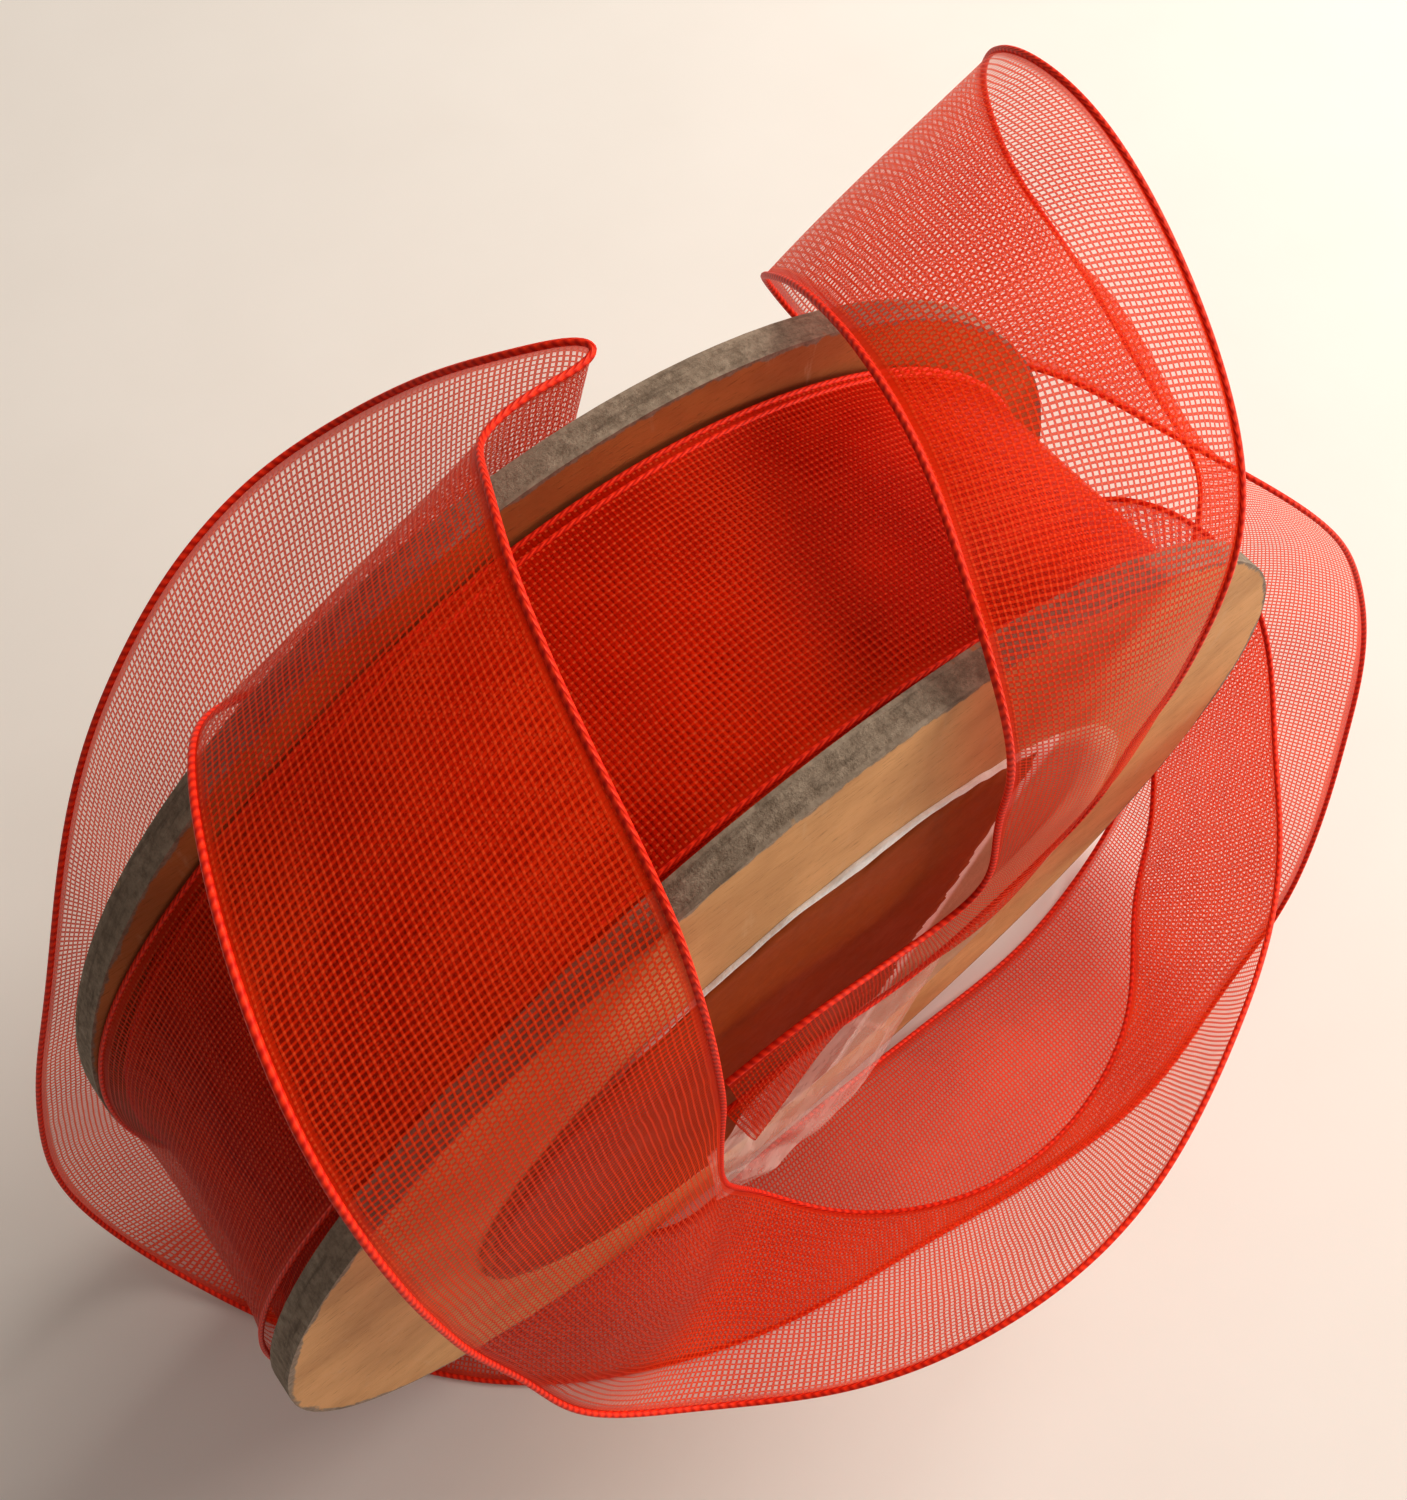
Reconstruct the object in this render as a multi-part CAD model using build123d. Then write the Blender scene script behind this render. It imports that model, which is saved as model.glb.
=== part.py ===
from build123d import *
import math
import os

# Ribbon spool. Spool axis along Y, flanges facing -Y (near) and +Y (far), Z up, millimetres.
# The origin is on the spool axis, half way between the flanges; it stands on its rims.

# Driving dimensions
RIBBON_WIDTH = 15.0
RIBBON_THICKNESS = 0.4
FLANGE_GAP = 16.0
FLANGE_RADIUS = 33.0
BOARD_THICKNESS = 1.1
LINER_THICKNESS = 0.2
BORE_RADIUS = 12.5
TUBE_PLY = 0.75
PACK_RADIUS = 30.4
LABEL_RADIUS = 22.4
LABEL_BACK_THICKNESS = 0.12
LABEL_PRINT_THICKNESS = 0.08
LABEL_WHITE_MARGIN = 0.5

# Sizes that follow from them
FLANGE_THICKNESS = BOARD_THICKNESS + 2 * LINER_THICKNESS
INNER_FACE = FLANGE_GAP / 2
OUTER_FACE = INNER_FACE + FLANGE_THICKNESS
TUBE_RADIUS = BORE_RADIUS + 2 * TUBE_PLY
PACK_HALF_WIDTH = RIBBON_WIDTH / 2 + 0.1
FLOOR_Z = -FLANGE_RADIUS

os.makedirs("parts", exist_ok=True)


def ring(y_low, y_high, outer, inner):
    """A flat ring or short tube about the spool axis, from y_low to y_high."""
    along_y = Plane(origin=(0, y_low, 0), x_dir=(1, 0, 0), z_dir=(0, 1, 0))
    with BuildPart() as made:
        with BuildSketch(along_y):
            Circle(outer)
            if inner > 0:
                Circle(inner, mode=Mode.SUBTRACT)
        extrude(amount=y_high - y_low)
    return made.part


def sector(y_low, y_high, outer, inner, start, end):
    """The part of such a ring between two angles in degrees, counted from +X towards +Z."""
    whole = ring(y_low, y_high, outer, inner)
    reach = 3 * outer
    corners = [
        (0.0, 0.0),
        (reach * math.cos(math.radians(start)), reach * math.sin(math.radians(start))),
        (reach * math.cos(math.radians(end)), reach * math.sin(math.radians(end))),
    ]
    wedge_face = Face(Wire.make_polygon([Vector(x, y_low, z) for x, z in corners], close=True))
    wedge = Solid.extrude(wedge_face, Vector(0, y_high - y_low, 0))
    return whole & wedge


# Flanges: chipboard faced with kraft paper on both sides
for side, name in ((-1, "near"), (1, "far")):
    steps = [INNER_FACE, INNER_FACE + LINER_THICKNESS, OUTER_FACE - LINER_THICKNESS, OUTER_FACE]
    layers = ("inner_liner", "board", "outer_liner")
    for layer, low, high in zip(layers, steps[:-1], steps[1:]):
        y_low, y_high = sorted((side * low, side * high))
        flange_layer = ring(y_low, y_high, FLANGE_RADIUS, BORE_RADIUS)
        export_step(flange_layer, f"parts/{name}_flange_{layer}.step")

# Core tube, two plies, butt-glued between the flanges
inner_ply = ring(-INNER_FACE, INNER_FACE, BORE_RADIUS + TUBE_PLY, BORE_RADIUS)
export_step(inner_ply, "parts/core_tube_inner_ply.step")
outer_ply = ring(-INNER_FACE, INNER_FACE, TUBE_RADIUS, BORE_RADIUS + TUBE_PLY)
export_step(outer_ply, "parts/core_tube_outer_ply.step")

# Glue squeezed out at each end of the tube, in the space beside the wound ribbon
for side, name in ((-1, "near"), (1, "far")):
    y_low, y_high = sorted((side * PACK_HALF_WIDTH, side * INNER_FACE))
    bead = ring(y_low, y_high, TUBE_RADIUS + 1.2, TUBE_RADIUS)
    export_step(bead, f"parts/{name}_glue_bead.step")

# Tape that holds the first turn to the tube, and the wound ribbon over it
start_tape = sector(-5.0, 5.0, TUBE_RADIUS + 0.1, TUBE_RADIUS, 200, 240)
export_step(start_tape, "parts/core_start_tape.step")
wound = ring(-PACK_HALF_WIDTH, PACK_HALF_WIDTH, PACK_RADIUS, TUBE_RADIUS) - start_tape
export_step(wound, "parts/wound_ribbon.step")

# Round paper label closing the hub hole: white paper, its printed skin torn away on one side
TORN_EDGE_X = 9.0
TORN_EDGE_Z = 4.0
TORN_EDGE_LEAN = 14.0
label_back_y = -OUTER_FACE - LABEL_BACK_THICKNESS
label_front_y = label_back_y - LABEL_PRINT_THICKNESS
label_back = ring(label_back_y, -OUTER_FACE, LABEL_RADIUS, 0)
export_step(label_back, "parts/label_paper.step")
torn_place = Pos(TORN_EDGE_X, -OUTER_FACE, TORN_EDGE_Z) * Rot(0, TORN_EDGE_LEAN, 0)
torn_away = torn_place * Pos(20, 0, 0) * Box(40, 4, 80)
label_print = ring(label_front_y, label_back_y, LABEL_RADIUS - LABEL_WHITE_MARGIN, 0) - torn_away
export_step(label_print, "parts/label_print.step")

# Clear film tape over the label's lower part
TAPE_THICKNESS = 0.1
TAPE_LENGTH = 19.0
TAPE_WIDTH = 13.0
tape_y = label_front_y - TAPE_THICKNESS / 2
tape_tab = Pos(0.5, tape_y, -13.0) * Box(TAPE_LENGTH, TAPE_THICKNESS, TAPE_WIDTH)
export_step(tape_tab, "parts/clear_tape_tab.step")

# Loose ribbon, one piece from the wound ribbon to its free end. Each station is a pair of
# points, one on each selvedge, across the ribbon. The stretches between them are the nodes.
ON_FLOOR = FLOOR_Z + RIBBON_THICKNESS / 2
ON_PACK = PACK_RADIUS + RIBBON_THICKNESS / 2
LEAVES_AT = -12.0
leave_x = ON_PACK * math.cos(math.radians(LEAVES_AT))
leave_z = ON_PACK * math.sin(math.radians(LEAVES_AT))

STATIONS = [
    ("payoff", (leave_x, 7.5, leave_z), (leave_x, -7.5, leave_z)),
    ("payoff", (33, 7, -1), (31.5, -7.2, -6.5)),
    ("payoff", (35.5, 3.5, 4), (33.5, -6.5, -7.5)),
    ("payoff", (37, -3, 5), (35, -6, -9.5)),
    ("right_turn", (37.3, -8.5, 0.5), (36, -5.5, -14)),
    ("right_turn", (33.5, -14, -2), (31.5, -10.8, -17)),
    ("right_turn", (27, -20.3, -2), (25.5, -14.5, -15.5)),
    ("front_sweep", (17, -25.3, -0.5), (18.5, -20.5, -14.5)),
    ("front_sweep", (5.5, -28.7, -0.5), (9.5, -23, -14)),
    ("front_sweep", (-1.5, -28.5, -0.5), (4, -22.5, -13)),
    ("front_sweep", (-8, -27, -2), (-0.5, -20.5, -13.5)),
    ("front_sweep", (-13.5, -24.5, -3.5), (-4.5, -17, -14)),
    ("front_fold", (-17.5, -21.5, -4), (-7, -14, -12)),
    ("front_fold", (-21.5, -19, -0.5), (-9, -13.5, -6)),
    ("front_fold", (-23.5, -15.5, 7), (-10, -13.5, 9)),
    ("front_strip", (-24.5, -13.5, 16), (-9.5, -13, 19)),
    ("front_strip", (-24.5, -12, 24), (-9.5, -12, 27.5)),
    ("front_strip", (-24, -9, 30.5), (-9, -9, 33)),
    ("over_strip", (-23, -5, 34), (-8, -3, 35.5)),
    ("over_strip", (-21.5, 0, 34.5), (-7, 2, 38)),
    ("over_strip", (-19.3, 6.8, 32.4), (-4.6, 7.2, 37)),
    ("top_fold", (-17.6, 10.4, 28.3), (-3.1, 10.2, 34.8)),
    ("top_fold", (-12.6, 10.6, 25), (-1, 10.6, 34.6)),
    ("top_fold", (-8.6, 10.7, 22.2), (0.6, 10.8, 34.2)),
    ("tip_loop", (-4.2, 10.9, 20), (2.2, 11, 33.6)),
    ("tip_loop", (0.6, 11.3, 18.9), (3.3, 11.4, 33.7)),
    ("tip_loop", (1.2, 13.6, 18.8), (2.8, 12.4, 33.7)),
    ("tip_loop", (-1.6, 15.4, 18.3), (0.9, 13.5, 33.2)),
    ("loop_return", (-5.2, 15.2, 16.4), (-1, 16.6, 30.7)),
    ("loop_return", (-9.8, 13.6, 14.4), (-4.8, 21.4, 25.2)),
    ("loop_return", (-13.5, 12.8, 13), (-8.9, 22.8, 23.2)),
    ("loop_return", (-16.8, 12.3, 11.6), (-12.8, 22.4, 22.4)),
    ("left_loop", (-20.5, 12, 7), (-19.2, 21.3, 18.3)),
    ("left_loop", (-23.5, 12, -0.5), (-25, 20.6, 11.5)),
    ("left_loop", (-26, 12, -9), (-32.5, 17.5, 1)),
    ("left_curl", (-28, 12, -18), (-38, 16.5, -9)),
    ("left_curl", (-29, 13, -27), (-42, 15, -23)),
    ("left_curl", (-28, 14, -31.5), (-41.5, 11.5, -31.5)),
    ("under_spool", (-25, 11, ON_FLOOR), (-38, 4, ON_FLOOR)),
    ("under_spool", (-20, 4, ON_FLOOR), (-32, -5, ON_FLOOR)),
    ("under_spool", (-17, -3, ON_FLOOR), (-26, -11.5, ON_FLOOR)),
    ("under_spool", (-14, -8.2, -32.2), (-19.5, -15.8, ON_FLOOR)),
    ("floor_sweep", (-11, -10.6, -30.3), (-14, -18.3, ON_FLOOR)),
    ("floor_sweep", (-4, -10.6, -27), (-7, -20.5, ON_FLOOR)),
    ("floor_sweep", (4, -10.6, -27.5), (2, -22, ON_FLOOR)),
    ("floor_sweep", (13, -10.4, -31), (13, -24, ON_FLOOR)),
    ("floor_bend", (24, -10.2, ON_FLOOR), (24, -24.5, ON_FLOOR)),
    ("floor_bend", (32, -8.6, -32), (32.5, -22.5, -31)),
    ("floor_bend", (36.5, -7, -29), (38, -21, -25)),
    ("right_loop", (38.5, -5, -24), (41, -18.5, -18)),
    ("right_loop", (39.5, -3, -18), (43, -15.5, -10)),
    ("right_loop", (40.5, -1.5, -12), (44, -12.5, -3)),
    ("right_loop", (41.5, -0.5, -7), (42, -10, 4)),
    ("right_twist", (42, 0.5, -2), (38.5, -8, 10)),
    ("right_twist", (42, 2, 1.5), (35, -4.5, 13.5)),
    ("right_twist", (41.5, 4, 3.5), (32.5, 0, 14.8)),
    ("right_twist", (42.3, 8.7, 4.5), (32.2, 6, 13.5)),
    ("top_loop_back", (42, 14, 8), (30.8, 10.4, 12.5)),
    ("top_loop_back", (37, 18, 17), (24, 13.5, 14)),
    ("top_loop_back", (33, 18, 25), (19.5, 16, 18)),
    ("top_loop_front", (31, 17, 29), (17.5, 17, 22.5)),
    ("top_loop_front", (28.5, 13.5, 33.5), (15, 14.5, 27)),
    ("top_loop_front", (27, 8, 35.5), (12.8, 10, 32)),
    ("top_loop_front", (24.5, 0.5, 35.5), (10.5, 3.5, 35.5)),
    ("face_strip", (22.3, -6.6, 32.5), (8.5, -2.7, 36)),
    ("face_strip", (19.5, -10.7, 30.5), (5.8, -8, 36)),
    ("face_strip", (18, -11.8, 25), (5.2, -11.3, 32.5)),
    ("face_strip", (18.5, -11.3, 13), (6.8, -11.8, 21.5)),
    ("tail", (18, -10.8, 0), (7.8, -12, 11)),
    ("tail", (8.5, -10.8, -5), (5, -11.8, 9.5)),
    ("tail", (-1.5, -10.6, -2), (-4, -11.8, 12.5)),
    ("tail", (-8.5, -10.4, -3), (-9, -11.4, 10)),
]


def section(index):
    """The ribbon's cut face at one station: a thin rectangle square to its run."""
    one, two = Vector(*STATIONS[index][1]), Vector(*STATIONS[index][2])
    before = STATIONS[max(index - 1, 0)]
    after = STATIONS[min(index + 1, len(STATIONS) - 1)]
    run = (Vector(*after[1]) + Vector(*after[2])) - (Vector(*before[1]) + Vector(*before[2]))
    lift = (two - one).cross(run).normalized() * (RIBBON_THICKNESS / 2)
    return Face(Wire.make_polygon([one - lift, two - lift, two + lift, one + lift], close=True))


def stretch(first, last):
    """The solid ribbon between two stations."""
    faces = [section(index) for index in range(first, last + 1)]
    return loft(faces, ruled=True)


names = [station[0] for station in STATIONS]
for name in dict.fromkeys(names):
    first = names.index(name)
    last = min(first + names.count(name), len(STATIONS) - 1)
    export_step(stretch(first, last), f"parts/loose_{name}.step")
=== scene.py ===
import math

import bpy
import numpy as np
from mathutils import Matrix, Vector


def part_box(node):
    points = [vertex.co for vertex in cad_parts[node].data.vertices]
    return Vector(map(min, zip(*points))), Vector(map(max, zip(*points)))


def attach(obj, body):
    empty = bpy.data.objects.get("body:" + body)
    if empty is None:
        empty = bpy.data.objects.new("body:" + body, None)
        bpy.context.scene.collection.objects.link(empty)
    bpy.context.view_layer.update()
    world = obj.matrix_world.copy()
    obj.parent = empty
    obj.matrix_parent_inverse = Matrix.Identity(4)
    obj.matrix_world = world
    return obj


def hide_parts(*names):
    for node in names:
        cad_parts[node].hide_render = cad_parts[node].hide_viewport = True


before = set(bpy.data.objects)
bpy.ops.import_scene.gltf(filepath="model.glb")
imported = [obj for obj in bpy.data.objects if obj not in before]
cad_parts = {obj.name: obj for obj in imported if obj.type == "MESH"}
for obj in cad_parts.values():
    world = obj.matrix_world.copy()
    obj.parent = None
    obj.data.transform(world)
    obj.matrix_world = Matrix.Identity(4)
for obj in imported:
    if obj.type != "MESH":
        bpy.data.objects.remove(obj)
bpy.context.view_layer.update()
MM = 0.001

# ---------------------------------------------------------------- driving sizes
FLANGE_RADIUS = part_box("near_flange_board")[1][0]
NEAR_FACE_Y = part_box("near_flange_outer_liner")[0][1]
FLOOR_Z = -FLANGE_RADIUS
PACK_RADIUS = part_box("wound_ribbon")[1][0]
LABEL_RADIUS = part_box("label_paper")[1][2]
RIBBON_WIDTH = 15.0 * MM
WEFT_PITCH = 0.30 * MM
WARP_PITCH = 0.33 * MM
SELVEDGE_RADIUS = 0.17 * MM
WOUND_SELVEDGE_RADIUS = SELVEDGE_RADIUS * 0.8
FLOOR_REACH = 1.5
FLOOR_DROP = 0.02 * MM
SPOOL_CLEARANCE = 0.35 * MM

# ---------------------------------------------------------------- camera and studio
CAMERA_AZIMUTH = math.radians(-38.6)
CAMERA_ELEVATION = math.radians(65.15)
CAMERA_DISTANCE = 89.8 * MM
CAMERA_AIM = Vector((4.16, 5.53, 3.2)) * MM
CAMERA_LENS = 39.95
SURROUND_COLOUR = (1.0, 0.89, 0.81, 1.0)
SURROUND_STRENGTH = 0.285
VIEW_GAMMA = 0.84
VIEW_EXPOSURE = 0.10


def add_camera():
    """The camera at the photograph's viewing angle, held level."""
    data = bpy.data.cameras.new("camera")
    data.sensor_fit = "HORIZONTAL"
    data.sensor_width = 36.0
    data.lens = CAMERA_LENS
    data.clip_start = 0.002
    camera = bpy.data.objects.new("camera", data)
    bpy.context.scene.collection.objects.link(camera)
    away = Vector((
        math.sin(CAMERA_AZIMUTH) * math.cos(CAMERA_ELEVATION),
        -math.cos(CAMERA_AZIMUTH) * math.cos(CAMERA_ELEVATION),
        math.sin(CAMERA_ELEVATION),
    ))
    camera.location = CAMERA_AIM + away * CAMERA_DISTANCE
    camera.rotation_euler = (-away).to_track_quat("-Z", "Y").to_euler()
    bpy.context.scene.camera = camera


def add_area_light(name, place, size, power, colour):
    """A square soft light aimed at the object."""
    data = bpy.data.lights.new(name, "AREA")
    data.size = size
    data.energy = power
    data.color = colour
    light = bpy.data.objects.new(name, data)
    bpy.context.scene.collection.objects.link(light)
    light.location = place
    light.rotation_euler = (-Vector(place)).to_track_quat("-Z", "Y").to_euler()


def add_studio():
    """Plain pale floor, soft light from the right, dim fill, and an even surround."""
    scene = bpy.context.scene
    world = bpy.data.worlds.new("surround")
    world.use_nodes = True
    background = world.node_tree.nodes["Background"]
    background.inputs["Color"].default_value = SURROUND_COLOUR
    background.inputs["Strength"].default_value = SURROUND_STRENGTH
    scene.world = world
    scene.view_settings.view_transform = "Standard"
    scene.view_settings.gamma = VIEW_GAMMA
    scene.view_settings.exposure = VIEW_EXPOSURE
    scene.cycles.transparent_max_bounces = 48
    add_area_light("key", (0.31, -0.01, 0.30), 0.28, 1.85, (1.0, 0.95, 0.88))
    add_area_light("fill", (0.36, -0.34, 0.08), 0.24, 1.10, (1.0, 0.93, 0.90))
    mesh = bpy.data.meshes.new("floor")
    reach = FLOOR_REACH
    corners = [(-reach, -reach), (reach, -reach), (reach, reach), (-reach, reach)]
    mesh.from_pydata([(x, y, FLOOR_Z - FLOOR_DROP) for x, y in corners], [], [(0, 1, 2, 3)])
    floor = bpy.data.objects.new("floor", mesh)
    scene.collection.objects.link(floor)
    floor.data.materials.append(floor_material())


# ---------------------------------------------------------------- node helpers
def new_material(name):
    material = bpy.data.materials.new(name)
    material.use_nodes = True
    tree = material.node_tree
    return material, tree, tree.nodes["Principled BSDF"], tree.nodes["Material Output"]


def math_node(tree, operation, *values, clamp=False):
    """A Math node; each value is a number or a socket. Returns its output."""
    node = tree.nodes.new("ShaderNodeMath")
    node.operation = operation
    node.use_clamp = clamp
    for socket, value in zip(node.inputs, values):
        if isinstance(value, (int, float)):
            socket.default_value = value
        else:
            tree.links.new(value, socket)
    return node.outputs[0]


def ramp(tree, source, low, high, at_low=0.0, at_high=1.0):
    """source rescaled from low..high to at_low..at_high, smoothly, and held outside."""
    node = tree.nodes.new("ShaderNodeMapRange")
    node.interpolation_type = "SMOOTHSTEP"
    tree.links.new(source, node.inputs["Value"])
    node.inputs["From Min"].default_value = low
    node.inputs["From Max"].default_value = high
    node.inputs["To Min"].default_value = at_low
    node.inputs["To Max"].default_value = at_high
    return node.outputs["Result"]


def noise_node(tree, vector, scale, detail=3.0, roughness=0.55):
    node = tree.nodes.new("ShaderNodeTexNoise")
    node.inputs["Scale"].default_value = scale
    node.inputs["Detail"].default_value = detail
    node.inputs["Roughness"].default_value = roughness
    tree.links.new(vector, node.inputs["Vector"])
    return node.outputs["Fac"]


def colour_mix(tree, fac, first, second):
    """Mixes two colours; each is an RGB triple or a socket."""
    node = tree.nodes.new("ShaderNodeMix")
    node.data_type = "RGBA"
    tree.links.new(fac, node.inputs["Factor"])
    for socket, value in ((node.inputs[6], first), (node.inputs[7], second)):
        if isinstance(value, tuple):
            socket.default_value = (*value, 1.0)
        else:
            tree.links.new(value, socket)
    return node.outputs[2]


def stretched(tree, vector, scale):
    node = tree.nodes.new("ShaderNodeVectorMath")
    node.operation = "MULTIPLY"
    tree.links.new(vector, node.inputs[0])
    node.inputs[1].default_value = scale
    return node.outputs[0]


def add_bump(tree, height, principled, distance, strength=1.0):
    node = tree.nodes.new("ShaderNodeBump")
    node.inputs["Strength"].default_value = strength
    node.inputs["Distance"].default_value = distance
    tree.links.new(height, node.inputs["Height"])
    tree.links.new(node.outputs["Normal"], principled.inputs["Normal"])
    return node.outputs["Normal"]


def object_coordinates(tree):
    return tree.nodes.new("ShaderNodeTexCoord").outputs["Object"]


def flat_coordinates(tree):
    """A piece's own flat coordinates, in metres along and across."""
    node = tree.nodes.new("ShaderNodeUVMap")
    node.uv_map = "flat"
    return node.outputs[0]


def split_vector(tree, vector):
    node = tree.nodes.new("ShaderNodeSeparateXYZ")
    tree.links.new(vector, node.inputs[0])
    return node.outputs[0], node.outputs[1], node.outputs[2]


# ---------------------------------------------------------------- materials
def floor_material():
    material, tree, principled, _ = new_material("pale_floor")
    grain = noise_node(tree, object_coordinates(tree), 60.0)
    tree.links.new(
        colour_mix(tree, grain, (0.83, 0.80, 0.76), (0.87, 0.845, 0.81)),
        principled.inputs["Base Color"],
    )
    principled.inputs["Roughness"].default_value = 0.9
    return material


def rim_coordinates(tree, place):
    """(around, across, radius) of a place on the spool: arc length, width and radius."""
    x, y, z = split_vector(tree, place)
    radius = math_node(tree, "SQRT", math_node(
        tree, "ADD", math_node(tree, "MULTIPLY", x, x), math_node(tree, "MULTIPLY", z, z)))
    angle = math_node(tree, "ARCTAN2", z, x)
    return math_node(tree, "MULTIPLY", angle, FLANGE_RADIUS), y, radius


def board_colour(tree, place):
    """Grey-brown pressed pulp, drawn out round the rim. Returns its colour and relief."""
    around, across, radius = rim_coordinates(tree, place)
    drawn = tree.nodes.new("ShaderNodeCombineXYZ")
    tree.links.new(math_node(tree, "MULTIPLY", around, 260.0), drawn.inputs[0])
    tree.links.new(math_node(tree, "MULTIPLY", across, 2600.0), drawn.inputs[1])
    tree.links.new(math_node(tree, "MULTIPLY", radius, 900.0), drawn.inputs[2])
    layers = noise_node(tree, drawn.outputs[0], 1.0, 4.0, 0.6)
    pulp = noise_node(tree, place, 1900.0, 5.0, 0.75)
    patches = noise_node(tree, place, 130.0, 3.0)
    base = colour_mix(tree, ramp(tree, pulp, 0.25, 0.75), (0.17, 0.12, 0.08), (0.39, 0.31, 0.235))
    layered = colour_mix(tree, ramp(tree, layers, 0.52, 0.72, 0.0, 0.6), base, (0.11, 0.075, 0.05))
    aged = colour_mix(tree, ramp(tree, patches, 0.4, 0.7, 0.0, 0.35), layered, (0.20, 0.145, 0.10))
    return aged, math_node(tree, "ADD", pulp, layers)


def kraft_material(name, light, dark):
    """Brown kraft paper: pulp mottling, fibres, scuffs, and a grey worn cut edge."""
    material, tree, principled, _ = new_material(name)
    place = object_coordinates(tree)
    mottle = noise_node(tree, place, 150.0, 4.0)
    fibres = noise_node(tree, stretched(tree, place, (1.0, 1.0, 7.0)), 1100.0, 5.0, 0.7)
    scuffs = noise_node(tree, stretched(tree, place, (3.0, 1.0, 0.6)), 300.0, 4.0, 0.65)
    dents = noise_node(tree, place, 75.0, 2.0)
    base = colour_mix(tree, ramp(tree, mottle, 0.3, 0.7), dark, light)
    flecked = colour_mix(tree, ramp(tree, fibres, 0.55, 0.72, 0.0, 0.8), base,
                         tuple(0.6 * v for v in dark))
    worn = colour_mix(tree, ramp(tree, scuffs, 0.58, 0.75, 0.0, 0.4), flecked, (0.62, 0.42, 0.25))
    board, _ = board_colour(tree, place)
    _, _, radius = rim_coordinates(tree, place)
    ragged = math_node(tree, "ADD", radius, math_node(tree, "MULTIPLY", math_node(
        tree, "SUBTRACT", scuffs, 0.5), 1.2 * MM))
    at_rim = ramp(tree, ragged, FLANGE_RADIUS - 0.28 * MM, FLANGE_RADIUS - 0.12 * MM)
    tree.links.new(colour_mix(tree, at_rim, worn, board), principled.inputs["Base Color"])
    tree.links.new(ramp(tree, fibres, 0.3, 0.7, 0.60, 0.86), principled.inputs["Roughness"])
    height = math_node(tree, "ADD", math_node(tree, "MULTIPLY", fibres, 0.5),
                       math_node(tree, "MULTIPLY", dents, 3.0))
    add_bump(tree, height, principled, 0.10 * MM, 0.6)
    return material


def chipboard_material():
    """Grey chipboard cut edge: pressed plies along the rim and torn fibres."""
    material, tree, principled, _ = new_material("chipboard")
    colour, relief = board_colour(tree, object_coordinates(tree))
    tree.links.new(colour, principled.inputs["Base Color"])
    tree.links.new(ramp(tree, relief, 0.6, 1.4, 0.8, 0.95), principled.inputs["Roughness"])
    add_bump(tree, relief, principled, 0.14 * MM, 1.0)
    return material


def tube_material():
    """Inside of the core tube: brown board with the spiral seam of its plies."""
    material, tree, principled, _ = new_material("tube_board")
    place = object_coordinates(tree)
    x, y, z = split_vector(tree, place)
    around = math_node(tree, "ARCTAN2", z, x)
    spiral = math_node(tree, "ADD", math_node(tree, "MULTIPLY", around, 1 / math.tau),
                       math_node(tree, "MULTIPLY", y, 38.0))
    seam = math_node(tree, "PINGPONG", spiral, 0.5)
    fibres = noise_node(tree, stretched(tree, place, (1.0, 3.0, 1.0)), 1300.0, 5.0, 0.7)
    base = colour_mix(tree, fibres, (0.24, 0.135, 0.065), (0.42, 0.26, 0.14))
    tree.links.new(colour_mix(tree, ramp(tree, seam, 0.0, 0.02), (0.12, 0.07, 0.035), base),
                   principled.inputs["Base Color"])
    principled.inputs["Roughness"].default_value = 0.88
    add_bump(tree, fibres, principled, 0.05 * MM, 0.6)
    return material


def thread_lines(tree, coordinate, half_width, pitch):
    """1 on a thread and 0 between threads, along one direction of the weave."""
    steps = math_node(tree, "DIVIDE", coordinate, pitch)
    to_thread = math_node(tree, "PINGPONG", steps, 0.5)
    return ramp(tree, to_thread, half_width - 0.045, half_width + 0.045, 1.0, 0.0)


def weave_masks(tree, weft_half=0.21, warp_half=0.16):
    """(weft, warp, along, across) of the ribbon's weave from its own flat coordinates."""
    flat = flat_coordinates(tree)
    along, across, _ = split_vector(tree, flat)
    drift = noise_node(tree, flat, 240.0, 2.0)
    slip = math_node(tree, "MULTIPLY", math_node(tree, "SUBTRACT", drift, 0.5), 1.1 * WEFT_PITCH)
    weft = thread_lines(tree, math_node(tree, "ADD", along, slip), weft_half, WEFT_PITCH)
    warp = thread_lines(tree, math_node(tree, "ADD", across, slip), warp_half, WARP_PITCH)
    return weft, warp, along, across


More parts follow.
